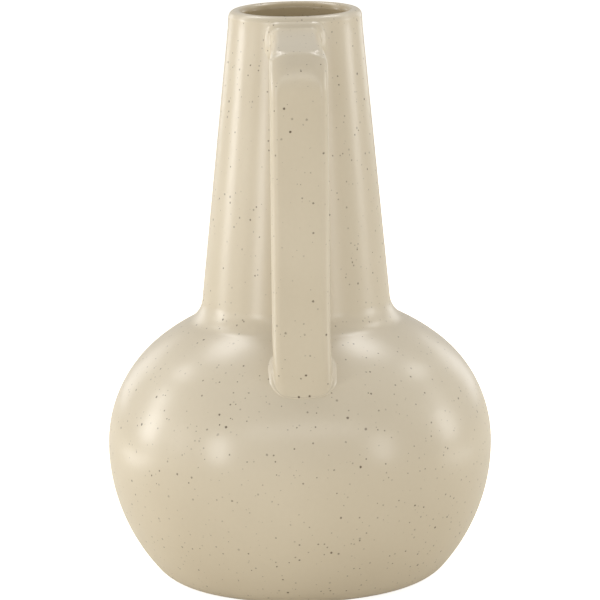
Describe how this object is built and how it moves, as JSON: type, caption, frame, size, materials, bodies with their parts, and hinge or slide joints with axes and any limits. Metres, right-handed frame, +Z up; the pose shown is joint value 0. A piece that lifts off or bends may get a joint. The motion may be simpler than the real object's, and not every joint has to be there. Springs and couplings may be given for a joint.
{
  "type": "vase with handle",
  "caption": "Round-bodied stoneware bottle vase with a tall tapering neck and a flat strap handle from the lip to the shoulder.",
  "frame": {"origin": "centre of the foot ring's underside, on the table", "axes": "+Z up along the neck, handle on the -Y side, +X to the right when the handle faces the viewer"},
  "size_m": [0.2, 0.2, 0.3],
  "materials": {
    "speckled_glaze": "satin cream glaze with fine dark iron specks",
    "bare_stoneware": "unglazed fired clay, matt and slightly gritty"
  },
  "bodies": {
    "root": {"foot_ring": "bare_stoneware", "base_floor": "speckled_glaze", "lower_bowl": "speckled_glaze", "shoulder_dome": "speckled_glaze", "neck_cone": "speckled_glaze", "neck_joint_coil": "speckled_glaze", "handle_strap": "speckled_glaze", "handle_upper_joint": "speckled_glaze", "handle_lower_joint": "speckled_glaze"}
  },
  "joints": []
}
